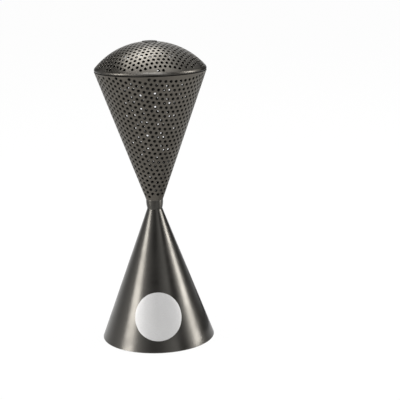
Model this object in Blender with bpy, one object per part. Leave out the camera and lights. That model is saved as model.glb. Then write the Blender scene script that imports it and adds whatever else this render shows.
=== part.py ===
"""Cone shaker: a perforated head full of loose steel balls, joined tip to tip to a plain hand bell.

Metres, +Z up. The shaker stands on the mouth of the bell, with its axis on Z and its badge towards -Y.
"""

import math

import bmesh
import bpy
from mathutils import Vector
from mathutils.geometry import delaunay_2d_cdt

MM = 0.001

# Bell: the plain cone, open below, that the palm covers and uncovers
BELL_MOUTH_DIAMETER = 75.0 * MM
BELL_TOP_DIAMETER = 10.0 * MM
BELL_HEIGHT = 88.0 * MM
BELL_SHEET = 0.9 * MM

# Neck: a turned ferrule that joins the two cones and is the floor of the ball chamber
NECK_HEIGHT = 6.0 * MM
NECK_LOWER_DIAMETER = 9.8 * MM
NECK_BULGE = 0.25 * MM
LOWER_SPIGOT_LENGTH = 6.0 * MM
UPPER_SPIGOT_LENGTH = 4.0 * MM
SPIGOT_CHAMFER = 0.5 * MM

# Head: a cone rolled from perforated sheet, wide end up, with its seam at the back
HEAD_BASE_DIAMETER = 11.3 * MM
HEAD_RIM_DIAMETER = 72.6 * MM
HEAD_HEIGHT = 85.0 * MM
HEAD_SHEET = 0.8 * MM
HEAD_PLAIN_FOOT = 4.5 * MM

# Cap: a dome pressed from perforated sheet, stepped in at its edge to tuck inside the head's rim
CAP_DOME_RADIUS = 47.5 * MM
CAP_SHOULDER_RADIUS = 3.5 * MM
CAP_SKIRT_HEIGHT = 0.4 * MM
CAP_TUCK_DEPTH = 4.0 * MM
CAP_SHEET = 0.8 * MM
CAP_PLAIN_CENTRE = 11.0 * MM

# Perforation: four-sided holes in close-packed rows, measured across corners
HOLE_PITCH = 6.5 * MM
HOLE_WIDTH = 3.2 * MM
HOLE_EDGE_WEB = 1.0 * MM

# Fill plug: rubber, with a low round head over the hole at the top of the dome
FILL_HOLE_DIAMETER = 6.0 * MM
PLUG_HEAD_DIAMETER = 10.0 * MM
PLUG_HEAD_EDGE = 0.25 * MM
PLUG_HEAD_CROWN = 0.3 * MM
PLUG_STEM_LENGTH = 5.0 * MM
PLUG_TIP_DIAMETER = 3.6 * MM

# Balls: loose in the head, lying in level layers on the chamber floor
BALL_DIAMETER = 5.0 * MM
BALL_LAYERS = 4

# Badge: a thin round plate that follows the bell's wall
BADGE_DIAMETER = 32.0 * MM
BADGE_THICKNESS = 0.3 * MM
BADGE_HEIGHT = 22.0 * MM

# Clearances
SEAT_GAP = 0.3 * MM
BADGE_GAP = 0.2 * MM
BALL_GAP = 0.3 * MM
BALL_WALL_GAP = 0.6 * MM

# Facets
ROUND_SEGMENTS = 48
SMALL_SEGMENTS = 32
SEAM_SEGMENTS = 14
HEAD_ROUND_RINGS = 6
HEAD_ROUND_STEP = 3.3 * MM
HOLE_CLEAR = 0.55
SHOULDER_SEGMENTS = 3
NECK_SEGMENTS = 4
BADGE_RINGS = 2
BADGE_RING_SIDES = 16
PLUG_HEAD_SEGMENTS = 4
HOLE_SIDES = 4
BALL_SUBDIVISIONS = 2
SHARP_ANGLE = math.radians(35.0)
WELD = 0.001 * MM
FLAT_TOLERANCE = 0.00001 * MM


def cone_angle(narrow_diameter, wide_diameter, height):
    """Half angle between a cone's wall and its axis."""
    return math.atan2((wide_diameter - narrow_diameter) / 2, height)


BELL_ANGLE = cone_angle(BELL_TOP_DIAMETER, BELL_MOUTH_DIAMETER, BELL_HEIGHT)
HEAD_ANGLE = cone_angle(HEAD_BASE_DIAMETER, HEAD_RIM_DIAMETER, HEAD_HEIGHT)

# Heights in the head's own frame, whose zero is the lower edge of the head cone
HEAD_FRAME_HEIGHT = BELL_HEIGHT + NECK_HEIGHT + SEAT_GAP
HEAD_APEX_HEIGHT = -HEAD_BASE_DIAMETER / 2 / math.tan(HEAD_ANGLE)
CHAMBER_FLOOR_HEIGHT = UPPER_SPIGOT_LENGTH
CAP_SEAM_HEIGHT = HEAD_HEIGHT + SEAT_GAP
CAP_SHOULDER_HEIGHT = CAP_SEAM_HEIGHT + CAP_SHEET + CAP_SKIRT_HEIGHT
CAP_SHOULDER_CENTRE = HEAD_RIM_DIAMETER / 2 - CAP_SHOULDER_RADIUS
CAP_DOME_ANGLE = math.asin(CAP_SHOULDER_CENTRE / (CAP_DOME_RADIUS - CAP_SHOULDER_RADIUS))
CAP_DOME_CENTRE = CAP_SHOULDER_HEIGHT - CAP_SHOULDER_CENTRE / math.tan(CAP_DOME_ANGLE)


def bell_inner_radius(height):
    """Radius of the bell's bore at a height above the mouth."""
    outer = BELL_MOUTH_DIAMETER / 2 - height * math.tan(BELL_ANGLE)
    return outer - BELL_SHEET / math.cos(BELL_ANGLE)


def head_inner_radius(height):
    """Radius inside the head cone at a height in the head's frame."""
    outer = HEAD_BASE_DIAMETER / 2 + height * math.tan(HEAD_ANGLE)
    return outer - HEAD_SHEET / math.cos(HEAD_ANGLE)


def dome_height(radius):
    """Height of the dome's outer face at a distance from the axis, in the head's frame."""
    return CAP_DOME_CENTRE + math.sqrt(CAP_DOME_RADIUS**2 - radius**2)


def clear_scene():
    """Remove every object, so that the script gives the same model each time."""
    for item in list(bpy.data.objects):
        bpy.data.objects.remove(item)


def add_material(name, colour, roughness, metallic):
    """Principled material of one colour."""
    made = bpy.data.materials.new(name)
    made.use_nodes = True
    shader = made.node_tree.nodes["Principled BSDF"]
    shader.inputs["Base Color"].default_value = (*colour, 1.0)
    shader.inputs["Roughness"].default_value = roughness
    shader.inputs["Metallic"].default_value = metallic
    return made


def add_frame(name, height):
    """Empty on the axis that carries the pieces modelled in its own frame."""
    frame = bpy.data.objects.new(name, None)
    frame.location = (0.0, 0.0, height)
    bpy.context.collection.objects.link(frame)
    return frame


def add_piece(name, mesh, finish, frame=None, location=(0.0, 0.0, 0.0)):
    """Object for one piece, carried by a frame if it has one."""
    if not mesh.materials:
        mesh.materials.append(finish)
    piece = bpy.data.objects.new(name, mesh)
    piece.parent = frame
    piece.location = location
    bpy.context.collection.objects.link(piece)
    return piece


def smooth_mesh(name, shape):
    """Mesh from a bmesh, round faces smooth and edges sharp."""
    bmesh.ops.remove_doubles(shape, verts=shape.verts, dist=WELD)
    mesh = bpy.data.meshes.new(name)
    shape.to_mesh(mesh)
    shape.free()
    mesh.shade_smooth()
    mesh.set_sharp_from_angle(angle=SHARP_ANGLE)
    return mesh


def turned_mesh(name, profile, segments, ring):
    """Spin a profile of (radius, height) points round Z; a ring's profile closes on itself."""
    shape = bmesh.new()
    points = [shape.verts.new((radius, 0.0, height)) for radius, height in profile]
    ends = points[1:] + points[:1] if ring else points[1:]
    edges = [shape.edges.new(pair) for pair in zip(points, ends)]
    bmesh.ops.spin(
        shape,
        geom=points + edges,
        cent=(0.0, 0.0, 0.0),
        axis=(0.0, 0.0, 1.0),
        angle=math.tau,
        steps=segments,
        use_merge=True,
    )
    bmesh.ops.remove_doubles(shape, verts=shape.verts, dist=WELD)
    bmesh.ops.recalc_face_normals(shape, faces=shape.faces)
    return smooth_mesh(name, shape)


def regular_loop(centre, radius, sides):
    """Corners of a regular polygon on the flat, anticlockwise."""
    turns = [math.tau * i / sides for i in range(sides)]
    return [Vector((centre[0] + radius * math.cos(a), centre[1] + radius * math.sin(a))) for a in turns]


def close_packed_points(reach):
    """Hole centres in close-packed rows along X, over a square of twice the reach."""
    row_step = HOLE_PITCH * math.sqrt(3) / 2
    rows = math.ceil(reach / row_step)
    columns = math.ceil(reach / HOLE_PITCH)
    centres = []
    for row in range(-rows, rows + 1):
        shift = HOLE_PITCH / 2 if row % 2 else 0.0
        for column in range(-columns - 1, columns + 1):
            centres.append(Vector((column * HOLE_PITCH + shift, row * row_step)))
    return centres


def punched_blank(outline, holes, creases=(), web_points=()):
    """Corners and triangles of a flat blank; it bends along the crease loops and at the web points.

    The outline is face 0 and every hole a further face, so a triangle of the sheet lies in face 0 alone.
    """
    points = []
    faces = []
    creased = []
    for loop in (outline, *holes):
        faces.append(list(range(len(points), len(points) + len(loop))))
        points.extend(loop)
    for loop in creases:
        corners = list(range(len(points), len(points) + len(loop)))
        creased.extend(zip(corners, corners[1:] + corners[:1]))
        points.extend(loop)
    points.extend(web_points)
    flat, _, triangles, _, _, sources = delaunay_2d_cdt(points, creased, faces, 0, FLAT_TOLERANCE, True)
    return flat, [triangle for triangle, inside in zip(triangles, sources) if inside == [0]]


def formed_mesh(name, blank, form):
    """Bend a flat blank: form gives the place on the outer face for each flat point."""
    flat, triangles = blank
    shape = bmesh.new()
    corners = [shape.verts.new(form(point)) for point in flat]
    for triangle in triangles:
        shape.faces.new([corners[i] for i in triangle])
    loose = [corner for corner in shape.verts if not corner.link_faces]
    bmesh.ops.delete(shape, geom=loose, context="VERTS")
    return smooth_mesh(name, shape)


def thicken(piece, thickness):
    """Give a formed face its sheet thickness, inwards."""
    solid = piece.modifiers.new("sheet", "SOLIDIFY")
    solid.thickness = thickness
    solid.offset = -1.0
    solid.use_even_offset = True
    solid.use_quality_normals = True


def rolled_onto_cone(apex_height, half_angle, opens_up):
    """Form that rolls a flat blank onto a cone; the blank's origin is the apex and its +Y the front line."""
    sense = 1 if opens_up else -1

    def form(point):
        slant = math.hypot(point[0], point[1])
        turn = sense * math.atan2(point[0], point[1]) / math.sin(half_angle)
        radius = slant * math.sin(half_angle)
        height = apex_height + sense * slant * math.cos(half_angle)
        return Vector((radius * math.sin(turn), -radius * math.cos(turn), height))

    return form


def build_bell(finish):
    """Plain sheet cone, open at the mouth and cut square at both ends."""
    profile = [
        (BELL_MOUTH_DIAMETER / 2, 0.0),
        (BELL_TOP_DIAMETER / 2, BELL_HEIGHT),
        (bell_inner_radius(BELL_HEIGHT), BELL_HEIGHT),
        (bell_inner_radius(0.0), 0.0),
    ]
    add_piece("bell_cone", turned_mesh("bell_cone", profile, ROUND_SEGMENTS, ring=True), finish)


def neck_profile():
    """Outside of the neck between its shoulders, swelling a little from the straight taper."""
    low = Vector((NECK_LOWER_DIAMETER / 2, BELL_HEIGHT + SEAT_GAP))
    high = Vector((HEAD_BASE_DIAMETER / 2, BELL_HEIGHT + NECK_HEIGHT))
    outside = []
    for step in range(NECK_SEGMENTS + 1):
        share = step / NECK_SEGMENTS
        point = low.lerp(high, share)
        point.x += NECK_BULGE * math.sin(math.pi * share)
        outside.append(point)
    return outside


def build_neck(finish):
    """Turned ferrule, with a tapered spigot up each cone and a shoulder on each cone's edge."""
    tip = BELL_HEIGHT - LOWER_SPIGOT_LENGTH
    lower_gap = SEAT_GAP / math.cos(BELL_ANGLE)
    upper_gap = SEAT_GAP / math.cos(HEAD_ANGLE)
    shoulder = BELL_HEIGHT + SEAT_GAP
    lower_root = bell_inner_radius(shoulder) - lower_gap
    upper_shoulder = HEAD_FRAME_HEIGHT - SEAT_GAP
    upper_root = head_inner_radius(-SEAT_GAP) - upper_gap
    floor = HEAD_FRAME_HEIGHT + CHAMBER_FLOOR_HEIGHT
    floor_radius = head_inner_radius(CHAMBER_FLOOR_HEIGHT - SPIGOT_CHAMFER) - upper_gap
    profile = [
        (0.0, tip),
        (bell_inner_radius(tip) - lower_gap - SPIGOT_CHAMFER, tip),
        (bell_inner_radius(tip + SPIGOT_CHAMFER) - lower_gap, tip + SPIGOT_CHAMFER),
        (lower_root, shoulder),
        *neck_profile(),
        (upper_root, upper_shoulder),
        (floor_radius, floor - SPIGOT_CHAMFER),
        (floor_radius - SPIGOT_CHAMFER, floor),
        (0.0, floor),
    ]
    add_piece("neck_ferrule", turned_mesh("neck_ferrule", profile, SMALL_SEGMENTS, ring=False), finish)


def build_head(finish, frame):
    """Cone rolled from a perforated sector of sheet, its two straight edges welded at the back."""
    inner = HEAD_BASE_DIAMETER / 2 / math.sin(HEAD_ANGLE)
    outer = HEAD_RIM_DIAMETER / 2 / math.sin(HEAD_ANGLE)
    half_sector = math.pi * math.sin(HEAD_ANGLE)
    turns = [half_sector * (2 * i / ROUND_SEGMENTS - 1) for i in range(ROUND_SEGMENTS + 1)]
    slants = [inner + (outer - inner) * i / SEAM_SEGMENTS for i in range(1, SEAM_SEGMENTS)]

    def on_blank(slant, turn):
        return Vector((slant * math.sin(turn), slant * math.cos(turn)))

    outline = [on_blank(inner, turn) for turn in turns]
    outline += [on_blank(slant, half_sector) for slant in slants]
    outline += [on_blank(outer, turn) for turn in reversed(turns)]
    outline += [on_blank(slant, -half_sector) for slant in reversed(slants)]

    edge_web = HOLE_WIDTH / 2 + HOLE_EDGE_WEB
    centres = []
    for centre in close_packed_points(outer):
        slant = centre.length
        turn = abs(math.atan2(centre.x, centre.y))
        clear_of_ends = inner + HEAD_PLAIN_FOOT + HOLE_WIDTH / 2 <= slant <= outer - edge_web
        clear_of_seam = turn < half_sector and slant * math.sin(half_sector - turn) >= edge_web
        if clear_of_ends and clear_of_seam:
            centres.append(centre)
    holes = [regular_loop(centre, HOLE_WIDTH / 2, HOLE_SIDES) for centre in centres]

    # Points between the holes keep the narrow end round, on every second line and none at the seam
    web_points = []
    for ring in range(1, HEAD_ROUND_RINGS + 1):
        for turn in turns[2:-2:2]:
            point = on_blank(inner + HEAD_ROUND_STEP * ring, turn)
            if all((point - centre).length > HOLE_WIDTH * HOLE_CLEAR for centre in centres):
                web_points.append(point)

    form = rolled_onto_cone(HEAD_APEX_HEIGHT, HEAD_ANGLE, opens_up=True)
    mesh = formed_mesh("head_cone", punched_blank(outline, holes, web_points=web_points), form)
    thicken(add_piece("head_cone", mesh, finish, frame), HEAD_SHEET)


def cap_profile():
    """Outer face of the cap as (radius, height) points, from the edge of the dome to the end of the tuck."""
    gap = SEAT_GAP / math.cos(HEAD_ANGLE)
    points = []
    for step in range(SHOULDER_SEGMENTS + 1):
        tilt = CAP_DOME_ANGLE + (math.pi / 2 - CAP_DOME_ANGLE) * step / SHOULDER_SEGMENTS
        radius = CAP_SHOULDER_CENTRE + CAP_SHOULDER_RADIUS * math.sin(tilt)
        points.append(Vector((radius, CAP_SHOULDER_HEIGHT + CAP_SHOULDER_RADIUS * math.cos(tilt))))
    tuck_end = HEAD_HEIGHT - CAP_TUCK_DEPTH
    points.append(Vector((HEAD_RIM_DIAMETER / 2, CAP_SEAM_HEIGHT)))
    points.append(Vector((head_inner_radius(HEAD_HEIGHT) - gap, CAP_SEAM_HEIGHT)))
    points.append(Vector((head_inner_radius(tuck_end) - gap, tuck_end)))
    return points


def build_cap(finish, frame):
    """Dome pressed from a perforated disc; distances from the disc's centre follow the cap's outer face."""
    bends = cap_profile()
    dome_reach = CAP_DOME_RADIUS * CAP_DOME_ANGLE
    reaches = [dome_reach]
    for point, following in zip(bends, bends[1:]):
        reaches.append(reaches[-1] + (following - point).length)

    def pressed(point):
        reach = math.hypot(point[0], point[1])
        turn = math.atan2(point[1], point[0])
        if reach <= dome_reach:
            radius = CAP_DOME_RADIUS * math.sin(reach / CAP_DOME_RADIUS)
            height = dome_height(radius)
        else:
            after = next((i for i, end in enumerate(reaches) if reach <= end + WELD), len(reaches) - 1)
            share = (reach - reaches[after - 1]) / (reaches[after] - reaches[after - 1])
            radius, height = bends[after - 1].lerp(bends[after], share)
        return Vector((radius * math.cos(turn), radius * math.sin(turn), height))

    nearest = CAP_PLAIN_CENTRE / 2 + HOLE_WIDTH / 2
    furthest = dome_reach - HOLE_EDGE_WEB - HOLE_WIDTH / 2
    holes = [regular_loop((0.0, 0.0), FILL_HOLE_DIAMETER / 2, SMALL_SEGMENTS)]
    for centre in close_packed_points(dome_reach):
        if nearest <= centre.length <= furthest:
            holes.append(regular_loop(centre, HOLE_WIDTH / 2, HOLE_SIDES))
    creases = [regular_loop((0.0, 0.0), reach, ROUND_SEGMENTS) for reach in reaches[:-1]]
    outline = regular_loop((0.0, 0.0), reaches[-1], ROUND_SEGMENTS)
    mesh = formed_mesh("dome_cap", punched_blank(outline, holes, creases), pressed)
    thicken(add_piece("dome_cap", mesh, finish, frame), CAP_SHEET)


def build_plug(finish, frame):
    """Push-in plug: a low crowned head on the dome and a tapered stem through the fill hole."""
    seat = dome_height(FILL_HOLE_DIAMETER / 2) + SEAT_GAP
    stem_radius = FILL_HOLE_DIAMETER / 2 - SEAT_GAP
    head_radius = PLUG_HEAD_DIAMETER / 2
    profile = [
        (0.0, -PLUG_STEM_LENGTH),
        (PLUG_TIP_DIAMETER / 2, -PLUG_STEM_LENGTH),
        (stem_radius, -CAP_SHEET - SEAT_GAP),
        (stem_radius, 0.0),
        (head_radius, 0.0),
    ]
    for step in range(PLUG_HEAD_SEGMENTS + 1):
        tilt = math.pi / 2 * step / PLUG_HEAD_SEGMENTS
        profile.append((head_radius * math.cos(tilt), PLUG_HEAD_EDGE + PLUG_HEAD_CROWN * math.sin(tilt)))
    mesh = turned_mesh("fill_plug", profile, SMALL_SEGMENTS, ring=False)
    add_piece("fill_plug", mesh, finish, frame, (0.0, 0.0, seat))


def ring_count(radius, step):
    """How many balls a step apart fit on a ring, or the one ball on the axis."""
    if radius < step / 2:
        return 1
    return int(math.pi / math.asin(step / 2 / radius))


def ball_places():
    """Ball centres at rest in the head's frame: rings from the wall inwards, layer above layer."""
    step = BALL_DIAMETER + BALL_GAP
    wall_gap = (BALL_DIAMETER / 2 + BALL_WALL_GAP) / math.cos(HEAD_ANGLE)
    places = []
    for layer in range(BALL_LAYERS):
        height = CHAMBER_FLOOR_HEIGHT + BALL_GAP + BALL_DIAMETER / 2 + layer * step
        radius = head_inner_radius(height) - wall_gap
        while radius >= 0.0:
            count = ring_count(radius, step)
            ring_radius = radius if count > 1 else 0.0
            for i in range(count):
                turn = math.tau * i / count
                places.append((ring_radius * math.sin(turn), -ring_radius * math.cos(turn), height))
            radius -= step
    return places


def build_balls(finish, frame):
    """Loose balls that share one mesh, each centred on its own origin."""
    shape = bmesh.new()
    bmesh.ops.create_icosphere(shape, subdivisions=BALL_SUBDIVISIONS, radius=BALL_DIAMETER / 2)
    mesh = smooth_mesh("ball", shape)
    for number, place in enumerate(ball_places(), start=1):
        add_piece(f"ball_{number:02d}", mesh, finish, frame, place)


def build_badge(finish):
    """Blank round badge, bent to the front of the bell."""
    apex = BELL_HEIGHT + BELL_TOP_DIAMETER / 2 / math.tan(BELL_ANGLE)
    lift = (BADGE_GAP + BADGE_THICKNESS) / math.sin(BELL_ANGLE)
    slant = (apex - BADGE_HEIGHT) / math.cos(BELL_ANGLE)
    centre = (0.0, slant)
    outline = regular_loop(centre, BADGE_DIAMETER / 2, SMALL_SEGMENTS)
    ring_step = BADGE_DIAMETER / 2 / (BADGE_RINGS + 1)
    bends = [regular_loop(centre, ring_step * ring, BADGE_RING_SIDES) for ring in range(1, BADGE_RINGS + 1)]
    form = rolled_onto_cone(apex + lift, BELL_ANGLE, opens_up=False)
    mesh = formed_mesh("badge", punched_blank(outline, [], bends), form)
    thicken(add_piece("badge", mesh, finish), BADGE_THICKNESS)


def main():
    """Build the shaker."""
    clear_scene()
    black_nickel = add_material("black_nickel_sheet", (0.085, 0.082, 0.076), 0.34, 1.0)
    perforated = add_material("black_nickel_perforated", (0.115, 0.110, 0.102), 0.40, 1.0)
    turned_steel = add_material("black_nickel_turned", (0.080, 0.077, 0.072), 0.38, 1.0)
    rubber = add_material("plug_rubber", (0.035, 0.032, 0.030), 0.62, 0.0)
    ball_steel = add_material("ball_steel", (0.560, 0.560, 0.550), 0.22, 1.0)
    silver = add_material("badge_silver", (0.610, 0.610, 0.610), 0.50, 0.4)

    build_bell(black_nickel)
    build_badge(silver)
    build_neck(turned_steel)
    head_frame = add_frame("head_frame", HEAD_FRAME_HEIGHT)
    build_head(perforated, head_frame)
    build_cap(perforated, head_frame)
    build_plug(rubber, head_frame)
    build_balls(ball_steel, head_frame)


main()
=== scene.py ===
"""Looks of the cone shaker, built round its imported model.

The shaker stands on the mouth of a plain spun bell. A turned neck joins the bell to a perforated
head that holds loose steel balls, and a perforated dome with a rubber fill plug closes the head.
"""

import logging
import math
from collections.abc import Callable, Iterable, Sequence
from dataclasses import dataclass, field
from enum import Enum
from typing import ClassVar

import bmesh
import bpy
import numpy as np
from mathutils import Euler, Matrix, Vector


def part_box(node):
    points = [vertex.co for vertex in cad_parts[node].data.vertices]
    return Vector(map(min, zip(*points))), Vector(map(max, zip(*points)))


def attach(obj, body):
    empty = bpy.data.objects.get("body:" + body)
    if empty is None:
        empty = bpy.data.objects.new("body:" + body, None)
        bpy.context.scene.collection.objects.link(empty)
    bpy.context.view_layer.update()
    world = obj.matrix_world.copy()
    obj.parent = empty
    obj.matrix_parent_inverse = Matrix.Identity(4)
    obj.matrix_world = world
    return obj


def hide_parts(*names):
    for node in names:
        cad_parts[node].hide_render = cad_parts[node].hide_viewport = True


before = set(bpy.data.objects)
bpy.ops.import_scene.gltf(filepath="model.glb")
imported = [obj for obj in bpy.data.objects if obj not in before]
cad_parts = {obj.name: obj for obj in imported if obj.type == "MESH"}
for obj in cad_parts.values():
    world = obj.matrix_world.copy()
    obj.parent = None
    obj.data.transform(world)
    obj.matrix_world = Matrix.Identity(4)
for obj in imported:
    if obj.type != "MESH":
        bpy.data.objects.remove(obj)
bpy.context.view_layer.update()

LOG = logging.getLogger("cone_shaker")

MM = 0.001
ROOT3 = math.sqrt(3.0)
ORIGIN = (0.0, 0.0, 0.0)
UP = (0.0, 0.0, 1.0)
WHITE = (1.0, 1.0, 1.0, 1.0)

# How near two points are to count as one, how short an edge is to go, and how near a point is to a
# line or to a face to count as on it
TINY = 0.001 * MM
CLOSE = 0.01 * MM
TOO_SHORT = 0.05 * MM
AT_LINE = 0.1 * MM
ON_FACE = 0.3 * MM

# Masks that the pieces carry for their finishes: rubbed wear, which on the dome's shoulder is also
# a painted highlight, and painted shade low on the dome's edge
WEAR_AND_HIGHLIGHT = "rub"
SEAM_SHADE = "seam_shade"

# Places of a sheet's two finishes among its materials
OUTSIDE, INSIDE = 0, 1

# Types of a node group's sockets, and the places of a colour mix's sockets
FLOAT = "NodeSocketFloat"
VECTOR = "NodeSocketVector"
MIX_SHARE, MIX_FIRST, MIX_SECOND, MIX_RESULT = 0, 6, 7, 2

Colour = tuple[float, float, float]
Point = tuple[float, float]
Span = tuple[float, float]
Rule = Callable[[np.ndarray], np.ndarray]
Socket = bpy.types.NodeSocket
Piece = bpy.types.Object
Material = bpy.types.Material
Node = bpy.types.Node
Tree = bpy.types.NodeTree


class Slot(Enum):
    """Material slots of the record."""

    BELL = "bell_sheet"
    NECK = "neck_steel"
    HEAD = "head_sheet"
    CAP = "cap_sheet"
    PLUG = "plug_rubber"
    BALL = "ball_steel"
    BADGE = "badge_foil"


class Body(Enum):
    """Bodies of the record, apart from the balls, which are each their own."""

    SHAKER = "shaker"
    PLUG = "fill_plug"


class Side(Enum):
    """Which side of a cut goes."""

    BELOW = "below"
    ABOVE = "above"
    NEITHER = "neither"


class Widening(Enum):
    """Which way a cone widens, as a sign of height."""

    UPWARDS = 1.0
    DOWNWARDS = -1.0


class Element(Enum):
    """What a selection holds: the operators' name for it, and a mesh's."""

    POINTS = ("VERT", "verts")
    EDGES = ("EDGE", "edges")
    FACES = ("FACE", "faces")


# Modelling with Blender's own operators


def leave_edit_mode() -> None:
    """Go back to object mode with nothing selected."""
    if bpy.context.mode != "OBJECT":
        bpy.ops.object.mode_set(mode="OBJECT")
    bpy.ops.object.select_all(action="DESELECT")


def pick(piece: Piece) -> None:
    """Make a piece the only one that operators act on.

    Args:
        piece: The piece, in object mode after the call.
    """
    leave_edit_mode()
    piece.select_set(True)
    bpy.context.view_layer.objects.active = piece


def edit(piece: Piece) -> None:
    """Open a piece for editing with all of it selected.

    Args:
        piece: The piece, in edit mode after the call.
    """
    pick(piece)
    bpy.ops.object.mode_set(mode="EDIT")
    bpy.ops.mesh.select_mode(type="VERT")
    bpy.ops.mesh.select_all(action="SELECT")


def take_new(name: str) -> Piece:
    """Name the object that a primitive has just made, and open it for editing.

    Args:
        name: The piece's name.

    Returns:
        The new piece, its place already in its mesh.
    """
    piece = bpy.context.active_object
    piece.name = name
    piece.data.name = name
    bpy.ops.object.transform_apply(location=True, rotation=True, scale=True)
    edit(piece)
    return piece


def select(piece: Piece, kind: Element, wanted: Callable[..., bool]) -> int:
    """Select the points, edges or faces of an open piece that pass a test.

    Args:
        piece: The piece, in edit mode.
        kind: What is selected.
        wanted: Test on one point, edge or face.

    Returns:
        How many are selected.
    """
    mode, elements = kind.value
    bpy.ops.mesh.select_mode(type=mode)
    bpy.ops.mesh.select_all(action="DESELECT")
    shape = bmesh.from_edit_mesh(piece.data)
    chosen = [element for element in getattr(shape, elements) if wanted(element)]
    for element in chosen:
        element.select_set(True)
    if kind is Element.POINTS:
        shape.select_flush_mode()
    bmesh.update_edit_mesh(piece.data)
    return len(chosen)


def select_rim(piece: Piece, on_rim: Callable[[Vector], bool]) -> None:
    """Select the boundary edges of a piece in edit mode whose ends pass a test."""
    select(
        piece,
        Element.EDGES,
        lambda edge: edge.is_boundary and all(on_rim(vert.co) for vert in edge.verts),
    )


def trim(piece: Piece, kept: Callable[[Vector], bool]) -> None:
    """Take away the faces of an open piece whose middles fail a test."""
    select(piece, Element.FACES, lambda face: not kept(face.calc_center_median()))
    bpy.ops.mesh.delete(type="FACE")


def is_sharp(edge: bmesh.types.BMEdge, angle: float) -> bool:
    """Whether the two faces of an edge meet at more than an angle."""
    return len(edge.link_faces) == 2 and edge.calc_face_angle() > angle


def draw_ring(start: Point, end: Point) -> None:
    """Draw the selected ring on to the next point of a profile.

    Args:
        start: The ring's (radius, height).
        end: The next (radius, height). A radius of 0 closes the ring.
    """
    bpy.ops.mesh.extrude_edges_move(TRANSFORM_OT_translate={"value": (0.0, 0.0, end[1] - start[1])})
    share = end[0] / start[0]
    bpy.ops.transform.resize(value=(share, share, 1.0), center_override=ORIGIN)
    if end[0] == 0.0:
        bpy.ops.mesh.merge(type="CENTER")


def turn(name: str, profile: Sequence[Point], segments: int) -> Piece:
    """Turn a piece about Z by drawing a ring along a profile.

    Args:
        name: The piece's name.
        profile: Points of (radius, height). One that ends where it starts makes a closed tube, and
            one that starts and ends on the axis makes a solid.
        segments: Sides of the ring.

    Returns:
        The piece, in object mode, facing out.
    """
    points = list(profile)
    capped = points[0][0] == 0.0
    if capped:
        pole = points.pop(0)
    leave_edit_mode()
    bpy.ops.mesh.primitive_circle_add(
        vertices=segments,
        radius=points[0][0],
        fill_type="TRIFAN" if capped else "NOTHING",
        location=(0.0, 0.0, points[0][1]),
    )
    piece = take_new(name)
    if capped:
        select(piece, Element.POINTS, lambda vert: vert.co.xy.length < TINY)
        bpy.ops.transform.translate(value=(0.0, 0.0, pole[1] - points[0][1]))
        select(piece, Element.POINTS, lambda vert: vert.co.xy.length > TINY)
    for start, end in zip(points, points[1:]):
        draw_ring(start, end)
    close_and_face_out(piece)
    return piece


def close_and_face_out(piece: Piece) -> None:
    """Merge doubled points and turn every face outwards.

    Args:
        piece: A closed piece in edit mode; it is left in object mode.
    """
    bpy.ops.mesh.select_all(action="SELECT")
    bpy.ops.mesh.remove_doubles(threshold=TINY)
    bpy.ops.mesh.normals_make_consistent(inside=False)
    leave_edit_mode()


def cut(plane_point: Sequence[float], normal: Sequence[float], side: Side) -> None:
    """Cut what is selected by a plane.

    Args:
        plane_point: A point on the plane.
        normal: The plane's direction.
        side: The side that goes.
    """
    bpy.ops.mesh.bisect(
        plane_co=plane_point,
        plane_no=normal,
        clear_inner=side is Side.BELOW,
        clear_outer=side is Side.ABOVE,
        threshold=TINY,
    )


def points_of(piece: Piece) -> np.ndarray:
    """Places of all points of a piece in object mode, one to a row.

    Args:
        piece: The piece.

    Returns:
        The places.
    """
    flat = np.empty(len(piece.data.vertices) * 3, np.float32)
    piece.data.vertices.foreach_get("co", flat)
    return flat.reshape(-1, 3).astype(float)


def reshape(piece: Piece, form: Rule) -> None:
    """Move every point of a piece by a rule.

    Args:
        piece: The piece, in object mode after the call.
        form: Gives the new places for an array of points.
    """
    leave_edit_mode()
    formed = form(points_of(piece))
    piece.data.vertices.foreach_set("co", formed.astype(np.float32).ravel())
    piece.data.update()


def on_cone(
    across: np.ndarray, along: np.ndarray, angle: float, tip: float, way: Widening
) -> np.ndarray:
    """Places on a cone for points of the flat sheet that it is rolled from.

    Args:
        across: How far the points lie right of the sheet's middle line, which goes to the front.
        along: How far they lie from the cone's tip along that line.
        angle: Half the cone's angle at its tip.
        tip: Height of the tip.
        way: Which way the cone widens.

    Returns:
        The places.
    """
    slant = np.hypot(across, along)
    turned = np.arctan2(across, along) / math.sin(angle)
    out = slant * math.sin(angle)
    height = tip + way.value * slant * math.cos(angle)
    return np.stack((out * np.sin(turned), -out * np.cos(turned), height), axis=1)


def drawn_to(values: np.ndarray, line: float, reach: float) -> np.ndarray:
    """Values with those near a line brought onto it, so that a cut there leaves no slivers."""
    return np.where(np.abs(values - line) < reach, line, values)


def apply_modifier(piece: Piece, kind: str, **settings: object) -> None:
    """Add one modifier with its settings and apply it.

    Args:
        piece: The piece, in object mode after the call.
        kind: Blender's type of modifier.
        **settings: Values of the modifier's fields.
    """
    pick(piece)
    modifier = piece.modifiers.new(kind.lower(), kind)
    for key, value in settings.items():
        setattr(modifier, key, value)
    bpy.ops.object.modifier_apply(modifier=modifier.name)


def thicken(piece: Piece, thickness: float) -> None:
    """Give a formed face its thickness inwards; the inner wall takes the inside finish.

    Args:
        piece: The face, in object mode after the call.
        thickness: The sheet's thickness.
    """
    for _ in (OUTSIDE, INSIDE):
        piece.data.materials.append(None)
    apply_modifier(
        piece,
        "SOLIDIFY",
        thickness=thickness,
        offset=-1.0,
        use_even_offset=True,
        use_quality_normals=True,
        material_offset=INSIDE,
        material_offset_rim=INSIDE,
    )


def smooth(piece: Piece, angle: float) -> None:
    """Shade a piece round, with edges sharper than an angle in degrees kept sharp."""
    pick(piece)
    bpy.ops.object.shade_smooth_by_angle(angle=math.radians(angle))


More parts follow.
